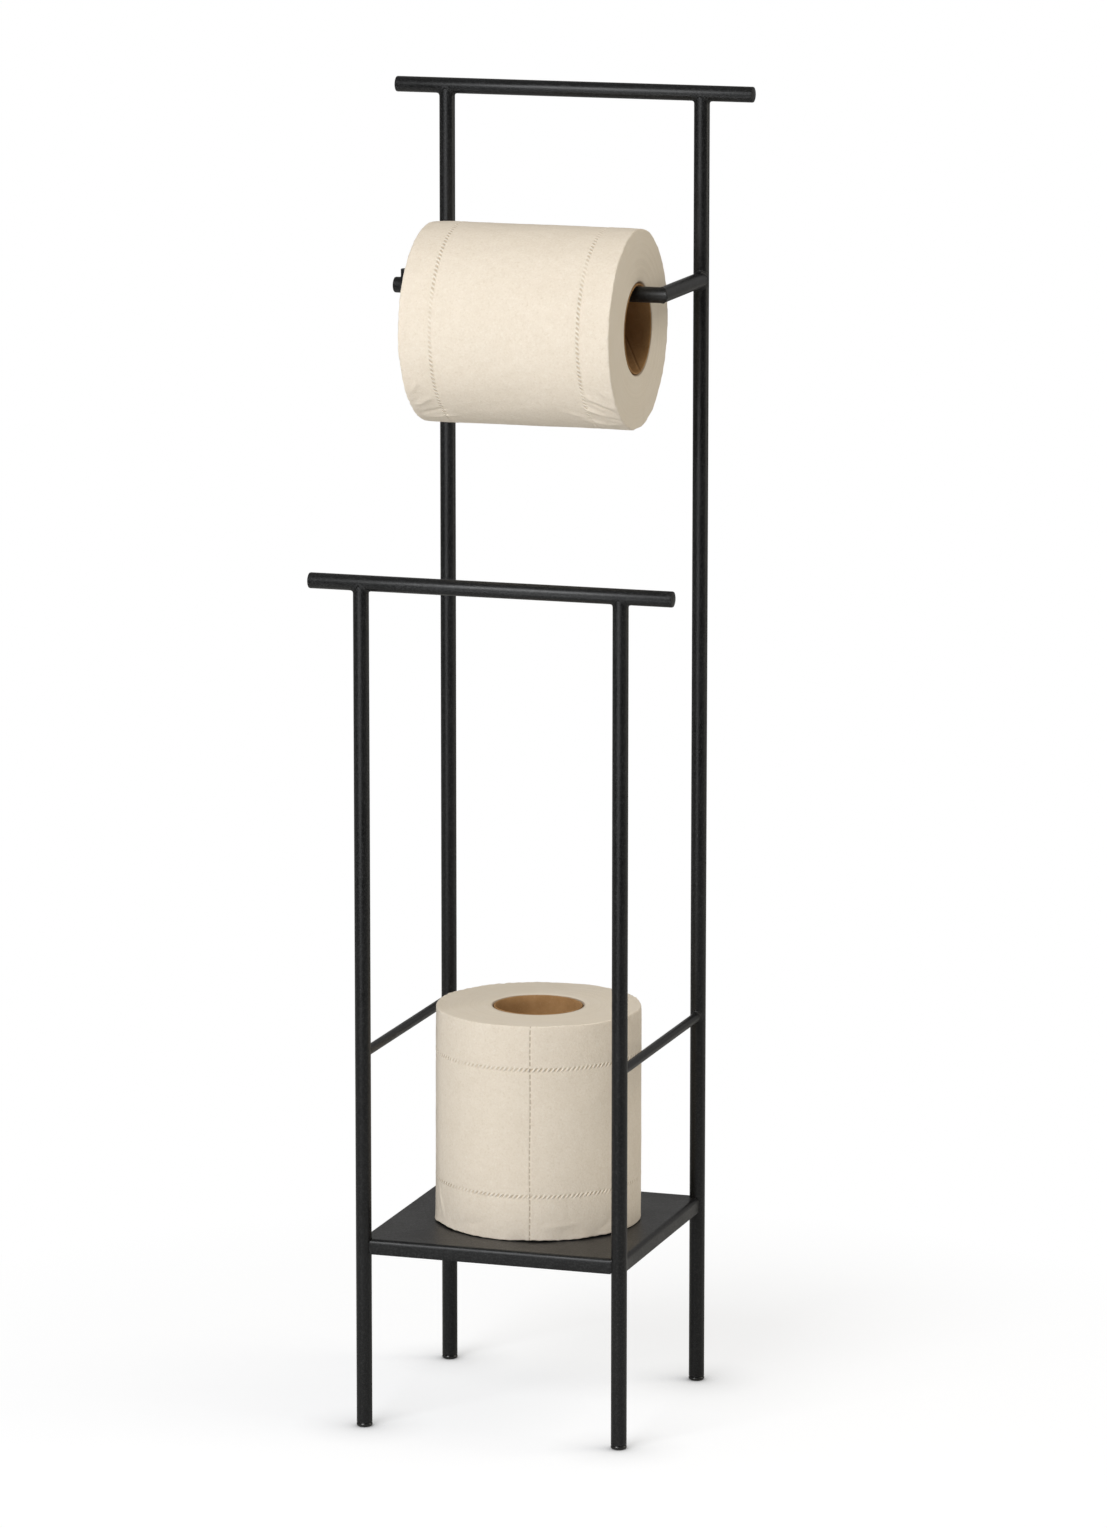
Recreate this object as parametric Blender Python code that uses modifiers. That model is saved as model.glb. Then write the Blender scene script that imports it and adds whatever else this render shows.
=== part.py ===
"""Free-standing toilet paper holder: a welded round-bar frame with a roll arm, a folded shelf for a
spare roll, four press-in foot glides, and the two rolls that it carries.

Metres, +Z up, +X to the holder's right as seen from the front, the front facing -Y. The floor is
Z = 0, and the frame is centred on the Z axis. Neighbouring pieces keep a 0.3 mm joint gap.
"""

import math

import bmesh
import bpy
from mathutils import Matrix, Vector

MM = 0.001

# Frame
BAR_D = 8.1 * MM  # round bar with its powder coat: posts, top bars and roll arm
POST_SPACING = 137.5 * MM  # between post axes, across the front and along the sides
BAR_LENGTH = 192.8 * MM  # top bars overhang the posts on both sides
BAR_CHAMFER = 0.7 * MM
REAR_BAR_Z = 680.0 * MM
FRONT_BAR_Z = 441.0 * MM
RAIL_D = 5.0 * MM  # thin guard rails at the sides
RAIL_Z = 197.0 * MM
JOINT_GAP = 0.3 * MM

# Shelf: folded sheet with its four edges turned down
SHELF_TOP_Z = 99.8 * MM
SHELF_EDGE_HEIGHT = 7.8 * MM
SHELF_OVERHANG = 2.0 * MM  # outer faces beyond the post axes
SHELF_SHEET = 1.2 * MM
SHELF_BEND_R = 2.2 * MM

# Roll arm
ARM_Z = 584.3 * MM
SPINDLE_FREE_END_X = -73.9 * MM
STOP_PIN_D = 5.8 * MM
STOP_PIN_X = -67.6 * MM
STOP_PIN_TOP_Z = 592.7 * MM

# Foot glides
GLIDE_D = 8.3 * MM
GLIDE_HEIGHT = 2.0 * MM
GLIDE_STEM_D = 4.0 * MM
GLIDE_STEM_TOP_Z = 9.6 * MM

# Rolls
CORE_BORE_D = 44.0 * MM
CORE_WALL = 1.1 * MM
SPARE_ROLL_D = 107.0 * MM
SPARE_ROLL_HEIGHT = 113.0 * MM
SPARE_ROLL_XY = (2.5 * MM, 2.0 * MM)
HUNG_ROLL_D = 102.6 * MM
HUNG_ROLL_LENGTH = 112.0 * MM
HUNG_ROLL_X = 0.6 * MM  # middle of its length

HALF = POST_SPACING / 2
BAR_R = BAR_D / 2
COPE_R = BAR_R + JOINT_GAP
FACETS = 40

for old in list(bpy.data.objects):
    bpy.data.objects.remove(old, do_unlink=True)

scene = bpy.context.scene
scene.unit_settings.system = "METRIC"
scene.unit_settings.scale_length = 1.0

part_collection = bpy.data.collections.new("toilet_paper_holder")
scene.collection.children.link(part_collection)
cutter_collection = bpy.data.collections.new("toilet_paper_holder_cutters")
scene.collection.children.link(cutter_collection)
cutter_collection.hide_render = True


def material(name, rgb, roughness, metallic=0.0):
    mat = bpy.data.materials.new(name)
    mat.use_nodes = True
    shader = mat.node_tree.nodes["Principled BSDF"]
    shader.inputs["Base Color"].default_value = (*rgb, 1.0)
    shader.inputs["Roughness"].default_value = roughness
    shader.inputs["Metallic"].default_value = metallic
    mat.diffuse_color = (*rgb, 1.0)
    return mat


BLACK_COAT = material("black_powder_coat", (0.018, 0.018, 0.019), 0.42)
BLACK_PLASTIC = material("black_glide_plastic", (0.02, 0.02, 0.02), 0.25)
TISSUE = material("white_tissue", (0.84, 0.79, 0.71), 0.95)
BOARD = material("grey_brown_board", (0.42, 0.30, 0.19), 0.9)


def keep(obj, name, mat, parent=None):
    """Name the object and its mesh, file it in the part's collection and give it its material."""
    obj.name = name
    obj.data.name = name
    for owner in list(obj.users_collection):
        owner.objects.unlink(obj)
    part_collection.objects.link(obj)
    obj.data.materials.clear()
    obj.data.materials.append(mat)
    if parent is not None:
        obj.parent = parent
    return obj


def cutter(obj, name):
    obj.name = name
    for owner in list(obj.users_collection):
        owner.objects.unlink(obj)
    cutter_collection.objects.link(obj)
    obj.hide_render = True
    obj.display_type = "WIRE"
    return obj


def rod(start, end, radius, facets=FACETS):
    """A round bar between two points."""
    start, end = Vector(start), Vector(end)
    bpy.ops.mesh.primitive_cylinder_add(
        vertices=facets, radius=radius, depth=(end - start).length, end_fill_type="NGON"
    )
    obj = bpy.context.object
    obj.location = (start + end) / 2
    obj.rotation_mode = "QUATERNION"
    obj.rotation_quaternion = (end - start).to_track_quat("Z", "Y")
    return obj


def box(low, high):
    low, high = Vector(low), Vector(high)
    bpy.ops.mesh.primitive_cube_add(size=1.0)
    obj = bpy.context.object
    size = high - low
    obj.data.transform(Matrix.Diagonal((size.x, size.y, size.z, 1.0)))
    obj.location = (low + high) / 2
    return obj


def bevel_edges(obj, width, segments, wanted):
    """Bevel the edges whose two end points pass the test, given in the object's own axes."""
    weight = obj.data.attributes.new("bevel_weight_edge", "FLOAT", "EDGE")
    for edge in obj.data.edges:
        ends = [obj.data.vertices[i].co for i in edge.vertices]
        weight.data[edge.index].value = 1.0 if wanted(*ends) else 0.0
    mod = obj.modifiers.new("edge_break", "BEVEL")
    mod.limit_method = "WEIGHT"
    mod.width = width
    mod.segments = segments
    mod.offset_type = "OFFSET"
    mod.use_clamp_overlap = True
    return mod


def cut(obj, tool, name):
    mod = obj.modifiers.new(name, "BOOLEAN")
    mod.operation = "DIFFERENCE"
    mod.solver = "EXACT"
    mod.object = tool
    return mod


def turned(name, profile, mat, facets, parent=None):
    """A closed ring turned about its own Z from a closed profile of (radius, height) points."""
    mesh = bpy.data.meshes.new(name)
    count = len(profile)
    mesh.from_pydata(
        [(r, 0.0, z) for r, z in profile],
        [(i, (i + 1) % count) for i in range(count)],
        [],
    )
    obj = bpy.data.objects.new(name, mesh)
    part_collection.objects.link(obj)
    mod = obj.modifiers.new("turn", "SCREW")
    mod.axis = "Z"
    mod.angle = 2 * math.pi
    mod.steps = facets
    mod.render_steps = facets
    mod.use_merge_vertices = True
    mod.merge_threshold = 1e-5
    mod.use_normal_calculate = False
    mod.use_smooth_shade = True
    mesh.materials.append(mat)
    if parent is not None:
        obj.parent = parent
    return obj


def end_rims(a, b):
    """True for the rim edges of a rod along its own Z: both ends at the same extreme height."""
    return abs(a.z - b.z) < 1e-7


# Cutters that cope a neighbour round each post and each bar
post_xy = {
    "front_left": (-HALF, -HALF),
    "front_right": (HALF, -HALF),
    "rear_left": (-HALF, HALF),
    "rear_right": (HALF, HALF),
}
post_cope = {
    corner: cutter(
        rod((x, y, 0.03), (x, y, 0.66), COPE_R), "cutter_round_" + corner + "_post"
    )
    for corner, (x, y) in post_xy.items()
}
bar_cope = {
    "front": cutter(
        rod((-0.12, -HALF, FRONT_BAR_Z), (0.12, -HALF, FRONT_BAR_Z), COPE_R),
        "cutter_round_front_bar",
    ),
    "rear": cutter(
        rod((-0.12, HALF, REAR_BAR_Z), (0.12, HALF, REAR_BAR_Z), COPE_R),
        "cutter_round_rear_bar",
    ),
}
spindle_cope = cutter(
    rod((-0.1, 0, ARM_Z), (0.1, 0, ARM_Z), COPE_R), "cutter_round_spindle"
)

# Posts, with a blind bore in the foot for the glide's stem
POST_FOOT_Z = GLIDE_HEIGHT + JOINT_GAP
for corner, (x, y) in post_xy.items():
    end = "front" if corner.startswith("front") else "rear"
    top = (FRONT_BAR_Z if end == "front" else REAR_BAR_Z) - 0.5 * MM
    post = rod((x, y, POST_FOOT_Z), (x, y, top), BAR_R)
    bore = cutter(
        rod(
            (x, y, -0.01),
            (x, y, GLIDE_STEM_TOP_Z + 1.0 * MM),
            GLIDE_STEM_D / 2 + JOINT_GAP,
            20,
        ),
        "cutter_" + corner + "_stem_bore",
    )
    cut(post, bar_cope[end], "cope_under_bar")
    cut(post, bore, "stem_bore")
    keep(post, corner + "_post", BLACK_COAT)

# Top bars with broken ends
for end, y, z in (("front", -HALF, FRONT_BAR_Z), ("rear", HALF, REAR_BAR_Z)):
    bar = rod((-BAR_LENGTH / 2, y, z), (BAR_LENGTH / 2, y, z), BAR_R)
    bevel_edges(bar, BAR_CHAMFER, 2, end_rims)
    keep(bar, end + "_top_bar", BLACK_COAT)

# Guard rails between front and rear posts, coped at both ends
for side, x in (("left", -HALF), ("right", HALF)):
    rail = rod((x, -HALF, RAIL_Z), (x, HALF, RAIL_Z), RAIL_D / 2, 28)
    cut(rail, post_cope["front_" + side], "cope_front_post")
    cut(rail, post_cope["rear_" + side], "cope_rear_post")
    keep(rail, side + "_guard_rail", BLACK_COAT)

# Shelf
reach = HALF + SHELF_OVERHANG
shelf = box(
    (-reach, -reach, SHELF_TOP_Z - SHELF_EDGE_HEIGHT), (reach, reach, SHELF_TOP_Z)
)
bevel_edges(shelf, SHELF_BEND_R, 5, lambda a, b: a.z > 0 and b.z > 0)
inner = reach - SHELF_SHEET
hollow_depth = 12 * MM
hollow = cutter(
    box(
        (-inner, -inner, SHELF_TOP_Z - SHELF_SHEET - hollow_depth),
        (inner, inner, SHELF_TOP_Z - SHELF_SHEET),
    ),
    "cutter_shelf_hollow",
)
bevel_edges(
    hollow, SHELF_BEND_R - SHELF_SHEET, 4, lambda a, b: a.z > 0 and b.z > 0
)
cut(shelf, hollow, "hollow_under_sheet")
for corner in post_xy:
    cut(shelf, post_cope[corner], "notch_" + corner)
keep(shelf, "shelf_tray", BLACK_COAT)

# Roll arm: a side bar from the rear right post, mitred to the spindle that carries the roll
mitre = JOINT_GAP / 2 * math.sqrt(2)
side_arm = rod((HALF, -BAR_R, ARM_Z), (HALF, HALF, ARM_Z), BAR_R)
spindle = rod((SPINDLE_FREE_END_X, 0, ARM_Z), (HALF + BAR_R, 0, ARM_Z), BAR_R)
bevel_edges(
    spindle, BAR_CHAMFER, 2, lambda a, b: abs(a.z - b.z) < 1e-7 and a.z < 0
)
reach_out = 0.05
half_side = reach_out / 2
for name, across, obj in (
    ("cutter_side_arm_mitre", -1.0, side_arm),
    ("cutter_spindle_mitre", 1.0, spindle),
):
    # a block turned 45 degrees whose near face lies along the mitre plane, half the gap away
    block = box(
        (-half_side, -half_side, -half_side), (half_side, half_side, half_side)
    )
    normal = Vector((1.0, -1.0, 0.0)).normalized()
    block.rotation_euler = (0, 0, math.radians(-45))
    centre = Vector((HALF, 0, ARM_Z))
    # the side arm keeps the +Y side of the plane, the spindle keeps the -X side
    away = Vector((-1.0, -1.0, 0.0)).normalized() if across < 0 else Vector((1.0, 1.0, 0.0)).normalized()
    block.location = centre + away * (half_side - JOINT_GAP / 2)
    cut(obj, cutter(block, name), "mitre")
cut(side_arm, post_cope["rear_right"], "cope_rear_post")
keep(side_arm, "roll_arm_side_bar", BLACK_COAT)
keep(spindle, "roll_arm_spindle", BLACK_COAT)

pin = rod(
    (STOP_PIN_X, 0, ARM_Z), (STOP_PIN_X, 0, STOP_PIN_TOP_Z), STOP_PIN_D / 2, 28
)
bevel_edges(pin, 0.4 * MM, 2, lambda a, b: a.z > 0 and b.z > 0)
cut(pin, spindle_cope, "cope_on_spindle")
keep(pin, "roll_stop_pin", BLACK_COAT)

# Foot glides: a low disc under the post with a stem pressed up into it
for corner, (x, y) in post_xy.items():
    r, s = GLIDE_D / 2, GLIDE_STEM_D / 2
    glide = turned(
        corner + "_foot_glide",
        [
            (0.0, GLIDE_STEM_TOP_Z),
            (s - 0.5 * MM, GLIDE_STEM_TOP_Z),
            (s, GLIDE_STEM_TOP_Z - 0.5 * MM),
            (s, GLIDE_HEIGHT),
            (r - 0.35 * MM, GLIDE_HEIGHT),
            (r, GLIDE_HEIGHT - 0.5 * MM),
            (r, 0.9 * MM),
            (r - 0.3 * MM, 0.3 * MM),
            (r - 0.9 * MM, 0.0),
            (0.0, 0.0),
        ],
        BLACK_PLASTIC,
        32,
    )
    glide.location = (x, y, 0)

# Rolls. Each has an empty on its joint's axis that carries the paper and the core.
def roll(prefix, carrier, outer_r, half_length, along_x):
    bore = CORE_BORE_D / 2
    core_out = bore + CORE_WALL
    paper_in = core_out + JOINT_GAP
    edge = 1.6 * MM
    paper = turned(
        prefix + "_roll_paper",
        [
            (paper_in, half_length),
            (outer_r - edge, half_length),
            (outer_r - 0.3 * edge, half_length - 0.3 * edge),
            (outer_r, half_length - edge),
            (outer_r, -half_length + edge),
            (outer_r - 0.3 * edge, -half_length + 0.3 * edge),
            (outer_r - edge, -half_length),
            (paper_in, -half_length),
        ],
        TISSUE,
        72,
        carrier,
    )
    core_half = half_length - 0.4 * MM
    core = turned(
        prefix + "_roll_core",
        [
            (bore, core_half),
            (core_out, core_half),
            (core_out, -core_half),
            (bore, -core_half),
        ],
        BOARD,
        56,
        carrier,
    )
    if along_x:
        for obj in (paper, core):
            obj.rotation_euler = (0, math.radians(90), 0)


spare_carrier = bpy.data.objects.new("spare_roll_slide", None)
spare_carrier.location = (
    SPARE_ROLL_XY[0],
    SPARE_ROLL_XY[1],
    SHELF_TOP_Z + JOINT_GAP + SPARE_ROLL_HEIGHT / 2,
)
part_collection.objects.link(spare_carrier)
roll("spare", spare_carrier, SPARE_ROLL_D / 2, SPARE_ROLL_HEIGHT / 2, False)

# The hung roll rests on the spindle by the top of its core's bore
hung_carrier = bpy.data.objects.new("hung_roll_axis", None)
hung_carrier.location = (
    HUNG_ROLL_X,
    0,
    ARM_Z + BAR_R + JOINT_GAP - CORE_BORE_D / 2,
)
part_collection.objects.link(hung_carrier)
roll("hung", hung_carrier, HUNG_ROLL_D / 2, HUNG_ROLL_LENGTH / 2, True)

bpy.context.view_layer.update()
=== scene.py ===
"""Looks for the free-standing toilet paper holder: coat, welds, wound tissue rolls, floor and studio light."""

import math

import bmesh
import bpy
import numpy as np
from mathutils import Matrix, Vector


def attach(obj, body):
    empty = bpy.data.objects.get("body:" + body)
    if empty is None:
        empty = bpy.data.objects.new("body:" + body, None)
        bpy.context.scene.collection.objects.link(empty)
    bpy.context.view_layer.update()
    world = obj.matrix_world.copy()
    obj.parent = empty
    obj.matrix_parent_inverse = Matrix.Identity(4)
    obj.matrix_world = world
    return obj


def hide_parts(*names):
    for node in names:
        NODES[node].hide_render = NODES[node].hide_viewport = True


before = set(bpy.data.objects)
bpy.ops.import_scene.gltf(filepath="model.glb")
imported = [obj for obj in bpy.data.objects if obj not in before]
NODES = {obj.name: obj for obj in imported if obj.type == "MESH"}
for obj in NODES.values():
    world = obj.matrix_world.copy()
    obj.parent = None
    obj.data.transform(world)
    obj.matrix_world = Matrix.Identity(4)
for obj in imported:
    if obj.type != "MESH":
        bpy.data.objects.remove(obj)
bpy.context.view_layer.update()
MM = 0.001
SLANT = 0.27  # how far an embossed mark leans, in marks per millimetre along the roll
HALF = 68.75
BAR_R = 4.05
FRONT_BAR_Z, REAR_BAR_Z, RAIL_Z, ARM_Z = 441.0, 680.0, 197.0, 584.3
SHELF_TOP, SHELF_DROP, SHELF_REACH = 99.8, 7.8, 70.75


# ---------------------------------------------------------------- node helpers
class Net:
    """A material's node tree with short names for the nodes that the finishes use."""

    def __init__(self, name):
        self.mat = bpy.data.materials.new(name)
        self.mat.use_nodes = True
        self.tree = self.mat.node_tree
        self.shader = self.tree.nodes["Principled BSDF"]
        self.coord = self.tree.nodes.new("ShaderNodeTexCoord")

    def put(self, kind, **values):
        node = self.tree.nodes.new(kind)
        for key, value in values.items():
            setattr(node, key, value)
        return node

    def join(self, out, into):
        self.tree.links.new(out, into)

    def noise(self, scale, detail=3.0, rough=0.55, vector=None, distortion=0.0):
        node = self.put("ShaderNodeTexNoise")
        node.inputs["Scale"].default_value = scale
        node.inputs["Detail"].default_value = detail
        node.inputs["Roughness"].default_value = rough
        node.inputs["Distortion"].default_value = distortion
        self.join(vector or self.coord.outputs["Object"], node.inputs["Vector"])
        return node.outputs["Fac"]

    def math(self, op, a, b=0.0, c=0.0, clamp=False):
        node = self.put("ShaderNodeMath", operation=op, use_clamp=clamp)
        for socket, value in zip(node.inputs, (a, b, c)):
            if isinstance(value, (int, float)):
                socket.default_value = value
            else:
                self.join(value, socket)
        return node.outputs[0]

    def remap(self, value, lo, hi, to_lo, to_hi):
        node = self.put("ShaderNodeMapRange")
        self.join(value, node.inputs["Value"])
        for key, number in (
            ("From Min", lo),
            ("From Max", hi),
            ("To Min", to_lo),
            ("To Max", to_hi),
        ):
            node.inputs[key].default_value = number
        return node.outputs["Result"]

    def mix(self, factor, a, b):
        node = self.put("ShaderNodeMix", data_type="RGBA")
        self.join(factor, node.inputs["Factor"])
        for key, colour in (("A", a), ("B", b)):
            socket = [s for s in node.inputs if s.name == key and s.type == "RGBA"][0]
            if isinstance(colour, tuple):
                socket.default_value = (*colour, 1.0)
            else:
                self.join(colour, socket)
        return [s for s in node.outputs if s.type == "RGBA"][0]

    def bump(self, height, distance, strength=1.0, under=None):
        node = self.put("ShaderNodeBump")
        node.inputs["Strength"].default_value = strength
        node.inputs["Distance"].default_value = distance
        self.join(height, node.inputs["Height"])
        if under is not None:
            self.join(under, node.inputs["Normal"])
        return node.outputs["Normal"]

    def stretched(self, scale):
        node = self.put("ShaderNodeMapping")
        node.inputs["Scale"].default_value = scale
        self.join(self.coord.outputs["Object"], node.inputs["Vector"])
        return node.outputs["Vector"]


def powder_coat(name, grain=1.0, base=(0.0030, 0.0031, 0.0033), pale=(0.0150, 0.0153, 0.0158)):
    """Semi-matt black powder coat: fine grain over a slow orange peel, with a few pale specks."""
    net = Net(name)
    fine = net.noise(1500.0, 2.0, 0.6)
    peel = net.noise(420.0, 2.0, 0.5)
    drift = net.noise(38.0, 3.0, 0.5)
    speck = net.noise(5200.0, 0.0, 0.5)
    grit = net.noise(1050.0, 1.0, 0.6)
    cast = net.math("ADD", net.remap(grit, 0.50, 0.66, 0.0, 0.85), net.remap(drift, 0.35, 0.68, 0.0, 0.15))
    tone = net.mix(cast, base, pale)
    tone = net.mix(net.remap(speck, 0.69, 0.76, 0.0, 0.85), tone, (0.06, 0.06, 0.062))
    net.join(tone, net.shader.inputs["Base Color"])
    rough = net.math(
        "ADD", net.remap(grit, 0.3, 0.7, 0.30, 0.42), net.remap(drift, 0.3, 0.7, -0.03, 0.04)
    )
    net.join(rough, net.shader.inputs["Roughness"])
    net.shader.inputs["Specular IOR Level"].default_value = 0.38
    net.shader.inputs["Specular Tint"].default_value = (0.97, 0.985, 1.0, 1.0)
    low = net.bump(peel, 0.00005 * grain, 0.9)
    net.join(net.bump(fine, 0.00005 * grain, 0.9, low), net.shader.inputs["Normal"])
    return net.mat


def weld_coat(name):
    """The same coat over rippled weld metal."""
    net = Net(name)
    fine = net.noise(2300.0, 2.0, 0.6)
    ripple = net.noise(900.0, 3.0, 0.6, distortion=0.4)
    tone = net.mix(
        net.remap(ripple, 0.35, 0.7, 0.0, 1.0), (0.0040, 0.0041, 0.0044), (0.012, 0.0122, 0.0128)
    )
    net.join(tone, net.shader.inputs["Base Color"])
    net.join(net.remap(fine, 0.3, 0.7, 0.38, 0.52), net.shader.inputs["Roughness"])
    net.shader.inputs["Specular IOR Level"].default_value = 0.38
    net.shader.inputs["Specular Tint"].default_value = (0.97, 0.985, 1.0, 1.0)
    low = net.bump(ripple, 0.00022, 0.8)
    net.join(net.bump(fine, 0.00003, 0.9, low), net.shader.inputs["Normal"])
    return net.mat


def glide_plastic(name):
    """Glossy black moulded plastic with faint scuffs toward the floor."""
    net = Net(name)
    cloud = net.noise(260.0, 3.0, 0.6)
    scuff = net.noise(1500.0, 4.0, 0.7, net.stretched((1.0, 1.0, 6.0)))
    net.join(
        net.mix(net.remap(scuff, 0.55, 0.72, 0.0, 0.6), (0.011, 0.011, 0.011), (0.045, 0.045, 0.046)),
        net.shader.inputs["Base Color"],
    )
    net.join(net.remap(cloud, 0.3, 0.7, 0.16, 0.3), net.shader.inputs["Roughness"])
    net.join(net.bump(scuff, 0.00003, 0.6), net.shader.inputs["Normal"])
    return net.mat


def tissue(name, centre, axis, radius, bands, stitches, perf_angle):
    """Soft creped tissue with its embossed rows and, where it shows, the torn-off line. Painted shade darkens the
    rows' dips, the line's slits and the strip by the outer sheet's torn end; a painted highlight lightens the rows'
    crests.

    The angle and the place along the roll follow the relief that wound_roll makes.
    """
    net = Net(name)
    split = net.put("ShaderNodeSeparateXYZ")
    net.join(net.coord.outputs["Object"], split.inputs[0])
    away = {
        key: net.math("SUBTRACT", split.outputs[key], centre[i] * MM) for i, key in enumerate("XYZ")
    }
    if axis == "X":
        across, up, along = net.math("MULTIPLY", away["Z"], -1.0), away["Y"], away["X"]
    else:
        across, up, along = away["X"], away["Y"], away["Z"]
    turn = net.math("DIVIDE", net.math("ARCTAN2", up, across), 2 * math.pi)
    along = net.math("MULTIPLY", along, 1000.0)
    fibre = net.noise(820.0, 5.0, 0.72)
    crepe = net.noise(560.0, 3.0, 0.6, distortion=0.6)
    cloud = net.noise(62.0, 4.0, 0.55)
    mottle = net.noise(240.0, 3.0, 0.6)
    pale = (0.855, 0.768, 0.648)
    deep = (0.805, 0.712, 0.587)
    tone = net.mix(net.remap(cloud, 0.34, 0.68, 0.0, 0.45), pale, deep)
    tone = net.mix(net.remap(mottle, 0.4, 0.68, 0.0, 0.2), tone, (0.72, 0.625, 0.50))
    tone = net.mix(net.remap(fibre, 0.54, 0.70, 0.0, 0.6), tone, (0.92, 0.86, 0.76))
    tone = net.mix(net.remap(fibre, 0.46, 0.28, 0.0, 0.6), tone, (0.69, 0.59, 0.455))
    height = None
    patchy = net.remap(net.noise(48.0, 2.0, 0.5), 0.36, 0.58, 0.35, 1.0)
    for band in bands:
        t = net.math("SUBTRACT", along, band)
        phase = net.math(
            "SUBTRACT", net.math("MULTIPLY", turn, float(stitches)), net.math("MULTIPLY", t, SLANT)
        )
        wave = net.math("COSINE", net.math("MULTIPLY", phase, 2 * math.pi))
        row = net.remap(net.math("ABSOLUTE", t), 0.55, 1.10, 1.0, 0.0)
        row = net.math("MULTIPLY", row, patchy)
        shaded_dip = net.math("MULTIPLY", net.remap(wave, 0.0, 0.75, 0.0, 1.0), row)
        lit_crest = net.math("MULTIPLY", net.remap(wave, -0.25, -0.85, 0.0, 1.0), row)
        # painted shade in the embossed dips and a painted highlight on their crests; the same masks also drive the
        # bump below
        tone = net.mix(net.math("MULTIPLY", shaded_dip, 0.62), tone, (0.52, 0.395, 0.25))
        tone = net.mix(net.math("MULTIPLY", lit_crest, 0.6), tone, (0.93, 0.875, 0.78))
        piece = net.math("SUBTRACT", lit_crest, shaded_dip)
        height = piece if height is None else net.math("ADD", height, piece)
    if perf_angle is not None:
        off = net.math("SUBTRACT", turn, perf_angle / (2 * math.pi))
        off = net.math("SUBTRACT", off, net.math("ROUND", off))
        off = net.math("MULTIPLY", off, 2 * math.pi * radius)
        lean = net.math("MULTIPLY", net.math("SINE", net.math("MULTIPLY", along, 0.11)), 0.15)
        off = net.math("SUBTRACT", off, net.math("ADD", lean, net.math("MULTIPLY", along, 0.004)))
        beat = net.math("FRACT", net.math("DIVIDE", net.math("ADD", along, 400.0), 3.3))
        slit = net.remap(beat, 0.62, 0.72, 1.0, 0.0)
        line = net.math("MULTIPLY", net.remap(net.math("ABSOLUTE", off), 0.15, 0.45, 1.0, 0.0), slit)
        # painted shade in the slits of the torn-off line; the line is also cut into the bump
        tone = net.mix(net.math("MULTIPLY", line, 0.55), tone, (0.40, 0.30, 0.20))
        height = net.math("SUBTRACT", height, line)
    # painted shade by the outer sheet's torn end, from the point attribute that wound_roll writes
    tail_shade = net.put("ShaderNodeAttribute", attribute_name="tail_shade")
    tone = net.mix(tail_shade.outputs["Fac"], tone, (0.55, 0.44, 0.32))
    net.join(tone, net.shader.inputs["Base Color"])
    net.join(net.remap(fibre, 0.3, 0.7, 0.9, 1.0), net.shader.inputs["Roughness"])
    net.shader.inputs["Specular IOR Level"].default_value = 0.12
    net.shader.inputs["Sheen Weight"].default_value = 0.05
    net.shader.inputs["Sheen Roughness"].default_value = 0.6
    low = net.bump(crepe, 0.00026, 0.6)
    low = net.bump(fibre, 0.00014, 0.6, low)
    net.join(net.bump(height, 0.00022, 0.8, low), net.shader.inputs["Normal"])
    return net.mat


def tissue_end(name, centre, axis):
    """The wound edge of the tissue: fine concentric layers round the roll's axis, and painted shade in a ring where
    it meets the core.
    """
    net = Net(name)
    split = net.put("ShaderNodeSeparateXYZ")
    net.join(net.coord.outputs["Object"], split.inputs[0])
    across = {"X": ("Y", "Z"), "Z": ("X", "Y")}[axis]
    offsets = {"X": centre[0], "Y": centre[1], "Z": centre[2]}
    a = net.math("SUBTRACT", split.outputs[across[0]], offsets[across[0]])
    b = net.math("SUBTRACT", split.outputs[across[1]], offsets[across[1]])
    radius = net.math(
        "SQRT", net.math("ADD", net.math("MULTIPLY", a, a), net.math("MULTIPLY", b, b))
    )
    wobble = net.noise(45.0, 2.0, 0.5)
    radius = net.math("ADD", radius, net.math("MULTIPLY", wobble, 0.0012))
    line = net.put("ShaderNodeCombineXYZ")
    net.join(radius, line.inputs[0])
    layers = net.noise(2600.0, 1.0, 0.5, line.outputs[0])
    broad = net.noise(520.0, 2.0, 0.6, line.outputs[0])
    fluff = net.noise(1300.0, 4.0, 0.65)
    cloud = net.noise(80.0, 3.0, 0.5)
    tone = net.mix(
        net.remap(layers, 0.35, 0.65, 0.0, 0.30), (0.835, 0.755, 0.635), (0.735, 0.64, 0.51)
    )
    tone = net.mix(net.remap(broad, 0.4, 0.65, 0.0, 0.2), tone, (0.72, 0.635, 0.52))
    tone = net.mix(net.remap(cloud, 0.4, 0.7, 0.0, 0.3), tone, (0.85, 0.78, 0.68))
    # painted shade: a dark ring on the wound end next to the bore, where the gap to the core lies
    gap_shade = net.remap(radius, (BORE + 0.9) * MM, (BORE + 1.6) * MM, 0.75, 0.0)
    tone = net.mix(gap_shade, tone, (0.27, 0.19, 0.12))
    net.join(tone, net.shader.inputs["Base Color"])
    net.join(net.remap(fluff, 0.3, 0.7, 0.92, 1.0), net.shader.inputs["Roughness"])
    net.shader.inputs["Specular IOR Level"].default_value = 0.1
    low = net.bump(layers, 0.00012, 0.6)
    net.join(net.bump(fluff, 0.00014, 0.6, low), net.shader.inputs["Normal"])
    return net.mat


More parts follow.
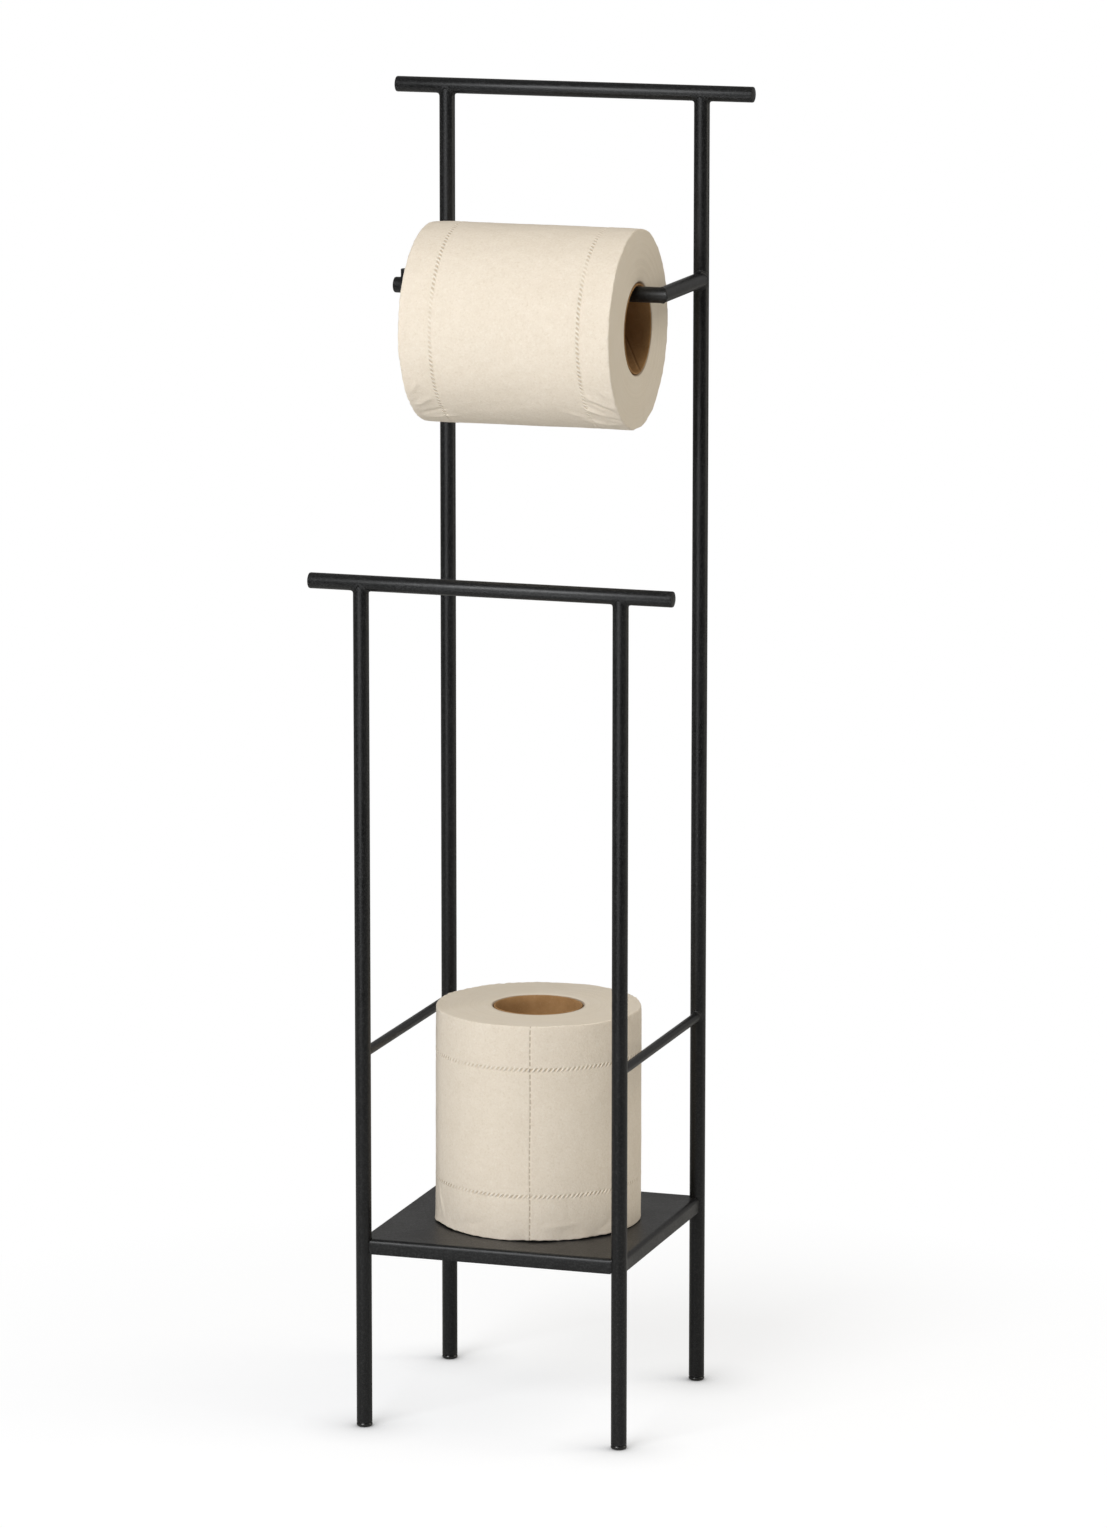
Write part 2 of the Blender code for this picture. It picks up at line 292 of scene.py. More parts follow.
def board(name, centre, axis):
    """Grey-brown core board with a helical butt seam and short fibres."""
    net = Net(name)
    split = net.put("ShaderNodeSeparateXYZ")
    net.join(net.coord.outputs["Object"], split.inputs[0])
    across = {"X": ("Y", "Z"), "Z": ("X", "Y")}[axis]
    offsets = {"X": centre[0], "Y": centre[1], "Z": centre[2]}
    a = net.math("SUBTRACT", split.outputs[across[0]], offsets[across[0]])
    b = net.math("SUBTRACT", split.outputs[across[1]], offsets[across[1]])
    turn = net.math("DIVIDE", net.math("ARCTAN2", b, a), 2 * math.pi)
    along = net.math("DIVIDE", split.outputs[axis], 0.078)
    wound = net.math("FRACT", net.math("ADD", net.math("ADD", turn, along), 10.0))
    seam = net.math("ABSOLUTE", net.math("SUBTRACT", wound, 0.5))
    groove = net.remap(seam, 0.0, 0.012, 1.0, 0.0)
    fibre = net.noise(1100.0, 5.0, 0.7)
    cloud = net.noise(120.0, 3.0, 0.6)
    tone = net.mix(net.remap(cloud, 0.3, 0.7, 0.0, 1.0), (0.43, 0.245, 0.105), (0.33, 0.178, 0.070))
    tone = net.mix(net.remap(fibre, 0.55, 0.75, 0.0, 0.5), tone, (0.52, 0.35, 0.19))
    tone = net.mix(net.math("MULTIPLY", groove, 0.35), tone, (0.16, 0.085, 0.035))
    net.join(tone, net.shader.inputs["Base Color"])
    net.join(net.remap(fibre, 0.3, 0.7, 0.78, 0.92), net.shader.inputs["Roughness"])
    net.shader.inputs["Specular IOR Level"].default_value = 0.25
    low = net.bump(net.math("SUBTRACT", 1.0, groove), 0.0003, 0.7)
    net.join(net.bump(fibre, 0.0001, 0.6, low), net.shader.inputs["Normal"])
    return net.mat


# ---------------------------------------------------------------- carried-over CAD nodes
COAT = powder_coat("coat_bars")
COAT_SHEET = powder_coat("coat_sheet", 1.5, (0.0030, 0.0031, 0.0033), (0.0170, 0.0173, 0.0178))
WELD = weld_coat("coat_welds")
PLASTIC = glide_plastic("glide_plastic")


def dress(node, mat, angle=32.0):
    """Join the facets' shared points and shade the round faces smooth, keeping the edges crisp."""
    node.data.materials.clear()
    node.data.materials.append(mat)
    node.data.polygons.foreach_set("material_index", [0] * len(node.data.polygons))
    node.data.polygons.foreach_set("use_smooth", [True] * len(node.data.polygons))
    if node.data.has_custom_normals:
        node.data.attributes.remove(node.data.attributes["custom_normal"])
    weld = node.modifiers.new("joined_points", "WELD")
    weld.merge_threshold = 1e-6
    split = node.modifiers.new("crisp_edges", "EDGE_SPLIT")
    split.split_angle = math.radians(angle)


for name, node in NODES.items():
    if name.endswith("_foot_glide"):
        dress(node, PLASTIC, 50.0)
    elif name == "shelf_tray":
        dress(node, COAT_SHEET)
    elif not name.endswith(("_paper", "_core")):
        dress(node, COAT)


# ---------------------------------------------------------------- mesh helpers
def grid_mesh(name, points, mats, wrap_v=False, row_material=None, attribute=None):
    """A surface from an array (rows, columns, 3) in metres whose columns close on themselves."""
    rows, cols = points.shape[:2]
    mesh = bpy.data.meshes.new(name)
    flat = points.reshape(-1, 3)
    r = np.arange(rows if wrap_v else rows - 1)
    c = np.arange(cols)
    rr, cc = np.meshgrid(r, c, indexing="ij")
    r2, c2 = (rr + 1) % rows, (cc + 1) % cols
    quads = np.stack([rr * cols + cc, rr * cols + c2, r2 * cols + c2, r2 * cols + cc], -1).reshape(-1, 4)
    mesh.vertices.add(len(flat))
    mesh.vertices.foreach_set("co", flat.astype(np.float32).ravel())
    mesh.loops.add(quads.size)
    mesh.loops.foreach_set("vertex_index", quads.astype(np.int32).ravel())
    mesh.polygons.add(len(quads))
    mesh.polygons.foreach_set("loop_start", np.arange(0, quads.size, 4, dtype=np.int32))
    mesh.polygons.foreach_set("loop_total", np.full(len(quads), 4, np.int32))
    mesh.update(calc_edges=True)
    for mat in mats:
        mesh.materials.append(mat)
    if row_material is not None:
        index = np.repeat(np.asarray(row_material)[: len(r)], cols)
        mesh.polygons.foreach_set("material_index", index.astype(np.int32))
    mesh.polygons.foreach_set("use_smooth", np.ones(len(quads), bool))
    if attribute is not None:
        layer = mesh.attributes.new(attribute[0], "FLOAT", "POINT")
        layer.data.foreach_set("value", attribute[1].astype(np.float32).ravel())
    obj = bpy.data.objects.new(name, mesh)
    bpy.context.scene.collection.objects.link(obj)
    return obj


def faces_out(obj):
    """Turn the faces of a closed mesh outwards."""
    bm = bmesh.new()
    bm.from_mesh(obj.data)
    if bm.calc_volume(signed=True) < 0:
        bmesh.ops.reverse_faces(bm, faces=bm.faces)
    bm.to_mesh(obj.data)
    bm.free()
    return obj


def waves(seed, theta, z, terms, lowest, highest, z_lowest=0.0, z_highest=0.0):
    """A smooth seeded ripple in whole turns of theta and cycles per metre of z, about -1 to 1."""
    rng = np.random.RandomState(seed)
    out = np.zeros(np.broadcast(theta, z).shape)
    for _ in range(terms):
        n = rng.randint(lowest, highest + 1)
        k = rng.uniform(z_lowest, z_highest)
        out = out + rng.uniform(0.5, 1.0) * np.sin(
            n * theta + 2 * np.pi * k * z + rng.uniform(0, 2 * np.pi)
        )
    return out / math.sqrt(terms)


# ---------------------------------------------------------------- weld fillets
def fillet(name, centre, along_main, toward_branch, r, big_r, leg, seed):
    """A closed ring of weld where a branch bar of radius r meets the side of a main bar (millimetres)."""
    c = np.array(centre, float)
    m = np.array(along_main, float)
    b = np.array(toward_branch, float)
    n = np.cross(b, m)
    cols, arc = 72, 7
    theta = np.linspace(0, 2 * np.pi, cols, endpoint=False)
    ct, st = np.cos(theta), np.sin(theta)
    ripple = 1 + 0.14 * waves(seed, theta, 0.0, 5, 5, 17) + 0.08 * waves(seed + 1, theta, 0.0, 4, 20, 34)
    size = leg * (0.38 + 0.62 * np.abs(ct)) * ripple if abs(r - big_r) < 0.1 else leg * ripple
    rise = np.sqrt(np.clip(big_r**2 - (r * st) ** 2, 0, None))
    skin = 0.03

    def place(radius_m, angle_n, height):
        return c + np.outer(radius_m, m) + np.outer(angle_n, n) + np.outer(height, b)

    foot = place((r + skin) * ct, (r + skin) * st, rise + size)
    corner = place((r + skin) * ct, (r + skin) * st, rise + skin)
    phi = np.arcsin(np.clip(r * st / big_r, -1, 1)) + st * size / big_r
    far = place(r * ct + ct * size, (big_r + skin) * np.sin(phi), (big_r + skin) * np.cos(phi))
    rows = []
    for t in np.linspace(0, 1, arc):
        rows.append((1 - t) ** 2 * foot + 2 * t * (1 - t) * corner + t**2 * far)
    inside = place((r - 0.9) * ct, (r - 0.9) * st, rise - 0.9)
    rows.append(far * 0.55 + inside * 0.45 - b * 0.25)
    rows.append(inside)
    rows.append(foot * 0.5 + inside * 0.5)
    points = np.stack(rows) * MM
    obj = faces_out(grid_mesh(name, points, [WELD], wrap_v=True))
    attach(obj, "stand")
    return obj


X, Y, Z = (1, 0, 0), (0, 1, 0), (0, 0, 1)
seed = 11
for corner, sx, sy, top in (
    ("front_left", -1, -1, FRONT_BAR_Z),
    ("front_right", 1, -1, FRONT_BAR_Z),
    ("rear_left", -1, 1, REAR_BAR_Z),
    ("rear_right", 1, 1, REAR_BAR_Z),
):
    fillet(f"weld_{corner}_post_to_bar", (sx * HALF, sy * HALF, top), X, (0, 0, -1), BAR_R, BAR_R, 1.45, seed)
    fillet(f"weld_{corner}_guard_rail", (sx * HALF, sy * HALF, RAIL_Z), Z, (0, -sy, 0), 2.5, BAR_R, 1.1, seed + 3)
    seed += 7
fillet("weld_roll_arm_to_post", (HALF, HALF, ARM_Z), Z, (0, -1, 0), BAR_R, BAR_R, 1.6, 51)
fillet("weld_stop_pin", (-67.6, 0, ARM_Z), X, (0, 0, 1), 2.9, BAR_R, 0.55, 57)


def bead(name, path, radius, seed, closed=False, flat=None):
    """A rippled bead of weld along a path of points (millimetres)."""
    path = np.asarray(path, float)
    count = len(path)
    ahead = np.roll(path, -1, 0) - np.roll(path, 1, 0)
    if not closed:
        ahead[0], ahead[-1] = path[1] - path[0], path[-1] - path[-2]
    ahead /= np.linalg.norm(ahead, axis=1)[:, None]
    ref = np.array(flat if flat is not None else (0.3, 0.5, 0.81))
    side = np.cross(ahead, ref)
    side /= np.linalg.norm(side, axis=1)[:, None]
    up = np.cross(side, ahead)
    s = np.linspace(0, 2 * np.pi, count)
    swell = radius * (1 + 0.13 * waves(seed, s, 0.0, 6, 3, 14))
    if not closed:
        taper = np.sqrt(np.clip(1 - (2 * np.linspace(0, 1, count) - 1) ** 8, 0.02, 1))
        swell = swell * taper
    a = np.linspace(0, 2 * np.pi, 16, endpoint=False)
    points = (
        path[:, None, :]
        + swell[:, None, None] * (np.cos(a)[None, :, None] * side[:, None, :] + np.sin(a)[None, :, None] * up[:, None, :])
    )
    if closed:
        obj = grid_mesh(name, points * MM, [WELD], wrap_v=True)
    else:
        obj = grid_mesh(name, points * MM, [WELD])
        bm = bmesh.new()
        bm.from_mesh(obj.data)
        bmesh.ops.holes_fill(bm, edges=[e for e in bm.edges if e.is_boundary], sides=0)
        bmesh.ops.recalc_face_normals(bm, faces=bm.faces)
        for f in bm.faces:
            f.smooth = True
        bm.to_mesh(obj.data)
        bm.free()
    faces_out(obj)
    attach(obj, "stand")
    return obj


# The mitre between the side bar and the spindle, ground nearly flush
phi = np.linspace(0, 2 * np.pi, 96, endpoint=False)
ring_r = BAR_R - 0.27
bead(
    "weld_roll_arm_mitre",
    np.stack([HALF + ring_r * np.cos(phi), -ring_r * np.cos(phi), ARM_Z + ring_r * np.sin(phi)], 1),
    0.42,
    71,
    closed=True,
    flat=(0.7071, 0.7071, 0.0),
)

# Where the shelf's turned-down edges meet the posts
edge_end = HALF - math.sqrt((BAR_R + 0.3) ** 2 - 2.0**2)
for corner, sx, sy in (
    ("front_left", -1, -1),
    ("front_right", 1, -1),
    ("rear_left", -1, 1),
    ("rear_right", 1, 1),
):
    heights = np.linspace(SHELF_TOP - SHELF_DROP + 0.25, SHELF_TOP - 1.1, 24)
    for which, x, y in (
        ("across", sx * (edge_end + 0.1), sy * (SHELF_REACH - 0.75)),
        ("along", sx * (SHELF_REACH - 0.75), sy * (edge_end + 0.1)),
    ):
        bead(
            f"weld_shelf_{corner}_{which}",
            np.stack([np.full(24, x), np.full(24, y), heights], 1),
            0.85,
            seed,
        )
        seed += 5


# ---------------------------------------------------------------- rolls
SINK = 0.15  # how far the wound end lies inside the roll's nominal length, in millimetres


def wound_roll(name, centre, axis, radius, half, bore, seed, bands, perf_angle, tail_angle, edge_lo, edge_hi, crush, stitches):
    """Wound tissue as one closed skin: embossed outer sheet, ragged rims, layered ends and bore.

    Lengths in millimetres; the roll is made about Z and then laid on its axis.
    """
    cols = 6 * stitches
    theta = np.linspace(0, 2 * np.pi, cols, endpoint=False)
    # rows along the length, finer in the embossed bands and at the rims
    levels = set(np.round(np.arange(-half + 2.6, half - 2.59, 2.2), 3))
    if axis == "X":
        levels |= set(np.round(np.arange(30.0, half - 1.0, 1.1), 3))
        levels |= set(np.round(np.arange(-half + 2.6, -40.0, 1.1), 3))
    else:
        levels |= set(np.round(np.arange(-half + 1.6, -40.0, 1.1), 3))
    for band in bands:
        levels |= set(np.round(np.arange(band - 2.25, band + 2.26, 0.45), 3))
    levels = np.array(sorted(levels))
    keep = [levels[0]]
    for value in levels[1:]:
        if value - keep[-1] >= 0.34:
            keep.append(value)
    levels = np.array(keep)

    def rim(sign, size):
        """(inset from the outer radius, inset from the end) round a rim, from the side to the face."""
        a = np.linspace(0, np.pi / 2, 7)
        return [(size * (1 - np.cos(t)), size * (1 - np.sin(t))) for t in a]

    th = theta[None, :]

    def skin(z):
        """Radial offset of the outer sheet, and the painted shade by its torn end, at height z (column vector) and
        theta.
        """
        off = 0.20 * waves(seed, th, z * MM, 4, 2, 4, -3, 3)
        off += 0.10 * waves(seed + 1, th, z * MM, 6, 5, 12, -18, 18)
        off += 0.05 * waves(seed + 2, th, z * MM, 8, 22, 60, -90, 90)
        # the sheet is drawn in between its embossed bands, and loosens toward the rims
        near = np.clip((np.abs(z) - (half - 14.0)) / 14.0, 0, 1)
        off += near**2 * (0.17 * waves(seed + 3, th, z * MM, 6, 9, 26, -12, 12) - 0.15)
        tail_shade = np.zeros(np.broadcast(th, z).shape)
        for i, band in enumerate(bands):
            t = z - band
            inside = np.exp(-((t / 1.15) ** 4))
            wave = np.cos(stitches * th - 2 * np.pi * SLANT * t)
            fade = 0.7 + 0.3 * np.clip(waves(seed + 30 + i, th, 0.0, 5, 2, 9) + 0.3, -1, 1)
            off -= 0.17 * inside * wave * fade
            off -= 0.05 * np.exp(-((t / 3.0) ** 2))
        if perf_angle is not None:
            d = (np.angle(np.exp(1j * (theta - perf_angle)))[None, :]) * radius
            d = d - 0.004 * z - 0.15 * np.sin(z * 0.11)
            slit = (np.mod(z + 400.0, 3.3) < 2.35).astype(float)
            off -= 0.16 * np.exp(-((d / 0.42) ** 2)) * slit
            off += 0.04 * np.exp(-(((np.abs(d) - 1.1) / 0.7) ** 2))
        # one turn of sheet over the last, with its torn end at tail_angle
        turn = np.mod(theta - tail_angle, 2 * np.pi) / (2 * np.pi)
        off += 0.38 * (turn[None, :] - 0.5)
        # painted shade on the lower layer just beyond the torn end, at the foot of the step
        tail_edge_shade = np.exp(-((turn * 2 * np.pi * radius) / 0.5) ** 2)[None, :]
        tail_shade += 0.25 * tail_edge_shade
        if crush is not None:
            off += crush(th, z)
        return off, np.clip(tail_shade, 0, 1)

    def ragged(sign):
        e = (0.34 if sign < 0 and axis == "Z" else 0.11) * waves(seed + 40 + (sign > 0), theta, 0.0, 8, 3, 14)
        e += 0.10 * waves(seed + 50 + (sign > 0), theta, 0.0, 12, 24, 75)
        return e

    pts, marks, kinds = [], [], []

    def add(r, z, kind, tail_shade):
        r = np.broadcast_to(r, (cols,))
        z = np.broadcast_to(z, (cols,))
        pts.append(np.stack([r * np.cos(theta), r * np.sin(theta), z], 1))
        marks.append(np.broadcast_to(tail_shade, (cols,)))
        kinds.append(kind)

    limit = half + 0.12

    def end_face(sign, size, inward):
        """Rows across one end, from the rim inwards (or the reverse)."""
        rows = []
        edge = ragged(sign)
        for inset_r, inset_z in rim(sign, size)[1:]:
            z = sign * (half - inset_z) + sign * (edge - SINK)
            off, tail_shade = skin(np.array([[sign * (half - size)]]))
            rows.append((radius + off[0] * (1 - 0.25 * inset_r / size) - inset_r, z, tail_shade[0] * 0))
        steps = np.linspace(0, 1, 24)[1:]
        outer = rows[-1][0]
        rng = np.random.RandomState(seed + 60 + (sign > 0))
        for i, t in enumerate(steps):
            r = outer * (1 - t) + (bore + 0.45) * t
            level = 0.04 * np.sin(i * 1.7) + 0.05 * rng.uniform(-1, 1)
            sway = 0.22 * waves(seed + 70 + (sign > 0), theta, 0.0, 4, 1, 4) * (1 - t)
            ease = (1 - t) ** 6
            z = sign * (half - SINK - 0.15 + edge * ease + level + sway * 0.6 - 0.25 * np.exp(-((t - 1) / 0.05) ** 2))
            rows.append((r, z, 0.0 * theta))
        rows = [(r, np.clip(z, -limit, limit), m) for r, z, m in rows]
        return rows if inward else rows[::-1]

    # bore, then the low end outwards, the side, and the high end inwards
    add(bore + 0.0 * theta, -half + 1.6, 1, 0.0 * theta)
    for r, z, m in end_face(-1, edge_lo, False):
        add(r, z, 1, m)
    side_levels = levels[(levels > -half + edge_lo + 0.4) & (levels < half - edge_hi - 0.4)]
    side_levels = np.concatenate([[-half + edge_lo], side_levels, [half - edge_hi]])
    for z in side_levels:
        off, tail_shade = skin(np.array([[z]]))
        lift = 0.0
        if z == side_levels[0]:
            lift = -(ragged(-1) - SINK)
        elif z == side_levels[-1]:
            lift = ragged(1) - SINK
        add(radius + off[0], z + lift, 0, tail_shade[0])
    first_side = kinds.index(0)
    for r, z, m in end_face(1, edge_hi, True):
        add(r, z, 1, m)
    add(bore + 0.0 * theta, half - 1.6, 1, 0.0 * theta)
    points = np.stack(pts)
    kinds = np.array(kinds)
    # the rim rows belong to the outer sheet, the flat rows to the wound end
    kinds[first_side - 6 : first_side] = 0
    last_side = len(kinds) - 1 - kinds[::-1].tolist().index(0)
    kinds[last_side + 1 : last_side + 6] = 0
    kinds = np.append(kinds[:-1], 1)
    world = points * MM
    if axis == "X":
        world = np.stack([world[..., 2], world[..., 1], -world[..., 0]], -1)
    world = world + np.array(centre) * MM
    obj = grid_mesh(
        name,
        world,
        [
            tissue(name + "_sheet", centre, axis, radius, bands, stitches, perf_angle),
            tissue_end(name + "_wound_end", [v * MM for v in centre], axis),
        ],
        wrap_v=True,
        row_material=kinds,
        attribute=("tail_shade", np.stack(marks)),
    )
    return faces_out(obj)


CORE_OUT = 23.1
BORE = CORE_OUT + 0.3

SPARE_C = (2.5, 2.0, SHELF_TOP + 0.3 + 113.0 / 2)
HUNG_C = (0.6, 0.0, ARM_Z + BAR_R + 0.3 - 22.0)

# angle of the perforation seen a little left of the middle from the camera's side
CAM_AZ = math.radians(18.05)
facing = math.atan2(-math.cos(CAM_AZ), math.sin(CAM_AZ))


def creases(th, z, radius, marks):
    """Short sharp folds in the outer sheet: (angle, place along, lean, half-length, half-width, height)."""
    out = np.zeros(np.broadcast(th, z).shape)
    for angle, place, lean, length, width, height in marks:
        a = math.radians(lean)
        s = radius * np.angle(np.exp(1j * (th - math.radians(angle))))
        t = z - place
        along, across = t * math.cos(a) + s * math.sin(a), s * math.cos(a) - t * math.sin(a)
        out = out + 2.0 * height * np.exp(-((across / (1.7 * width)) ** 2) - (along / length) ** 4)
    return out


def spare_crush(th, z):
    """The foot of the standing roll is bent out and pleated a little where it has been set down."""
    low = np.clip((-z - 46.0) / 10.0, 0, 1)
    left = np.exp(-((np.angle(np.exp(1j * (th - math.radians(-158)))) / 0.5) ** 2))
    out = low**2 * (0.10 + 0.55 * left + 0.30 * waves(301, th, z * MM, 5, 9, 22, -8, 8))
    top = np.clip((z - 50.0) / 6.0, 0, 1)
    out = out + top**2 * 0.18 * waves(302, th, z * MM, 4, 3, 9, -8, 8)
    return out + creases(
        th,
        z,
        53.2,
        (
            (-22, -47, 35, 7, 0.9, 0.14),
            (-30, -50, 60, 6, 0.8, -0.10),
            (-142, -45, -30, 7, 1.0, 0.22),
            (-112, -50, 78, 9, 0.9, -0.14),
            (-60, -49, 84, 10, 0.8, 0.12),
            (-20, 44, -70, 9, 0.9, 0.25),
        ),
    )


spare = wound_roll(
    "spare_roll_tissue", SPARE_C, "Z", 53.2, 56.5, BORE, 101,
    bands=(33.6, -33.2), perf_angle=facing - math.radians(4.6), tail_angle=facing + math.radians(150),
    edge_lo=0.6, edge_hi=0.8, crush=spare_crush, stitches=133,
)
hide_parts("spare_roll_paper")
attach(spare, "spare_roll")


def hung_crush(th, z):
    """Soft pleats and folds round the free rims low on the hanging roll, and a rounded left shoulder."""
    low = np.clip(0.5 + 0.5 * np.cos(th), 0, 1)
    left = np.clip((-z - 36.0) / 20.0, 0, 1)
    right = np.clip((z - 40.0) / 16.0, 0, 1)
    out = -0.35 * left**3
    out = out + (left**1.5) * low * 0.40 * waves(401, th, z * MM, 5, 6, 15, -22, 22)
    out = out + (right**1.5) * low * 0.22 * waves(402, th, z * MM, 5, 12, 26, -40, 40)
    sag = np.exp(-((np.angle(np.exp(1j * (th + 0.1))) / 0.7) ** 2))
    out = out + 0.35 * sag * np.clip((-z + 20.0) / 60.0, 0, 1)
    return out + creases(
        th,
        z,
        50.9,
        (
            (-50, 46, 38, 6.5, 0.8, 0.40),
            (-45, 49, 44, 6.0, 0.8, -0.42),
            (-40, 45, 34, 8.0, 0.9, 0.50),
            (-34, 49, 30, 7.0, 0.8, -0.42),
            (-29, 43, 22, 9.0, 0.9, 0.45),
            (-57, 50, 52, 5.0, 0.7, 0.28),
            (-70, 50, 62, 5.0, 0.8, 0.20),
            (-37, 33, 26, 8.0, 0.9, 0.22),
            (-44, -47, -40, 6.0, 0.9, 0.32),
            (-34, -44, -25, 8.0, 0.9, -0.32),
            (-55, -50, -55, 5.0, 0.8, 0.25),
            (-28, -40, -15, 8.0, 0.9, 0.25),
        ),
    )


hung = wound_roll(
    "hung_roll_tissue", HUNG_C, "X", 50.9, 56.0, BORE, 202,
    bands=(-38.6, 39.4), perf_angle=math.radians(120), tail_angle=math.radians(95),
    edge_lo=1.7, edge_hi=0.8, crush=hung_crush, stitches=127,
)
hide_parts("hung_roll_paper")
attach(hung, "hung_roll")


def core_tube(name, centre, axis, half, seed):
    """The core: a thin board tube, slightly out of round, with softened cut ends."""
    cols = 160
    theta = np.linspace(0, 2 * np.pi, cols, endpoint=False)
    inner, outer = 22.0, CORE_OUT - 0.05
    rows = []

    def add(r, z):
        warp = 0.10 * waves(seed, theta, 0.0, 3, 2, 3)
        fuzz = 0.06 * waves(seed + 1, theta, z * MM, 6, 20, 60)
        rows.append(np.stack([(r + warp) * np.cos(theta), (r + warp) * np.sin(theta), z + np.sign(z) * fuzz], 1))

    heights = np.linspace(-half + 0.35, half - 0.35, 28)
    for z in heights:
        add(inner + 0.12, z)
    add(inner + 0.25, half - 0.12)
    add((inner + outer) / 2, half)
    add(outer - 0.2, half - 0.12)
    for z in heights[::-1]:
        add(outer - 0.05, z)
    add(outer - 0.2, -half + 0.12)
    add((inner + outer) / 2, -half)
    add(inner + 0.25, -half + 0.12)
    world = np.stack(rows) * MM
    if axis == "X":
        world = np.stack([world[..., 2], world[..., 1], -world[..., 0]], -1)
    world = world + np.array(centre) * MM
    return faces_out(
        grid_mesh(name, world, [board(name + "_board", [v * MM for v in centre], axis)], wrap_v=True)
    )


for name, centre, axis, half, body, sd in (
    ("spare_roll_core", SPARE_C, "Z", 56.0, "spare_roll", 501),
    ("hung_roll_core", HUNG_C, "X", 55.6, "hung_roll", 502),
):
    tube = core_tube(name + "_tube", centre, axis, half, sd)
    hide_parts(name)
    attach(tube, body)


# ---------------------------------------------------------------- stage, light and camera
def emitter(name, place, target, size_x, size_y, power, colour=(1, 1, 1)):
    data = bpy.data.lights.new(name, "AREA")
    data.shape = "RECTANGLE"
    data.size, data.size_y = size_x, size_y
    data.energy = power
    data.color = colour
    obj = bpy.data.objects.new(name, data)
    obj.location = place
    obj.rotation_euler = (Vector(target) - Vector(place)).to_track_quat("-Z", "Y").to_euler()
    bpy.context.scene.collection.objects.link(obj)
    return obj


def around(azimuth, elevation, distance, target=(0, 0, 0.34)):
    """A place at an azimuth to the camera's right (degrees), as seen from the object."""
    a, e = math.radians(azimuth), math.radians(elevation)
    return Vector(target) + distance * Vector(
        (math.sin(a) * math.cos(e), -math.cos(a) * math.cos(e), math.sin(e))
    )


FLOOR_TONE, FLOOR_GLOW, FLOOR_BOUNCE = 0.40, 0.705, 0.72
bpy.ops.mesh.primitive_grid_add(x_subdivisions=24, y_subdivisions=24, size=30.0)
floor = bpy.context.object
floor.name = "studio_floor"
floor_net = Net("studio_floor")
spread = floor_net.put("ShaderNodeVectorMath", operation="LENGTH")
floor_net.join(floor_net.coord.outputs["Object"], spread.inputs[0])
floor_tone = floor_net.mix(
    floor_net.remap(floor_net.noise(1.2, 2.0), 0.3, 0.7, 0.0, 1.0),
    (FLOOR_TONE * 0.985, FLOOR_TONE, FLOOR_TONE * 1.03),
    (FLOOR_TONE * 0.99, FLOOR_TONE * 1.005, FLOOR_TONE * 1.035),
)
floor_net.join(floor_tone, floor_net.shader.inputs["Base Color"])
floor_net.shader.inputs["Roughness"].default_value = 0.95
floor_net.shader.inputs["Specular IOR Level"].default_value = 0.0
floor_net.shader.inputs["Emission Color"].default_value = (1, 1, 1, 1)
# painted contact shadow: the floor's glow is dimmed where ambient occlusion finds the feet close by
contact_shade = floor_net.put("ShaderNodeAmbientOcclusion", samples=8)
contact_shade.inputs["Distance"].default_value = 0.035
floor_net.join(
    floor_net.remap(contact_shade.outputs["AO"], 0.55, 1.0, FLOOR_GLOW * 0.30, FLOOR_GLOW),
    floor_net.shader.inputs["Emission Strength"],
)
far = floor_net.put("ShaderNodeEmission")
far.inputs["Strength"].default_value = 1.0
fade = floor_net.put("ShaderNodeMixShader")
floor_net.join(floor_net.remap(spread.outputs["Value"], 0.20, 0.42, 0.0, 1.0), fade.inputs[0])
floor_net.join(floor_net.shader.outputs[0], fade.inputs[1])
floor_net.join(far.outputs[0], fade.inputs[2])
# what the floor throws back at the object is a dim grey, as on a flagged studio table
dim = floor_net.put("ShaderNodeBsdfDiffuse")
depth = floor_net.put("ShaderNodeSeparateXYZ")
floor_net.join(floor_net.coord.outputs["Object"], depth.inputs[0])
floor_net.join(
    floor_net.mix(
        floor_net.remap(depth.outputs["Y"], -0.45, -0.85, 0.0, 1.0),
        (FLOOR_BOUNCE, FLOOR_BOUNCE, FLOOR_BOUNCE * 0.98),
        (0.05, 0.05, 0.05),
    ),
    dim.inputs["Color"],
)
floor_ray = floor_net.put("ShaderNodeLightPath")
floor_mix = floor_net.put("ShaderNodeMixShader")
floor_net.join(floor_ray.outputs["Is Camera Ray"], floor_mix.inputs[0])
floor_net.join(dim.outputs[0], floor_mix.inputs[1])
floor_net.join(fade.outputs[0], floor_mix.inputs[2])
floor_net.join(floor_mix.outputs[0], floor_net.tree.nodes["Material Output"].inputs["Surface"])
floor.data.materials.append(floor_net.mat)

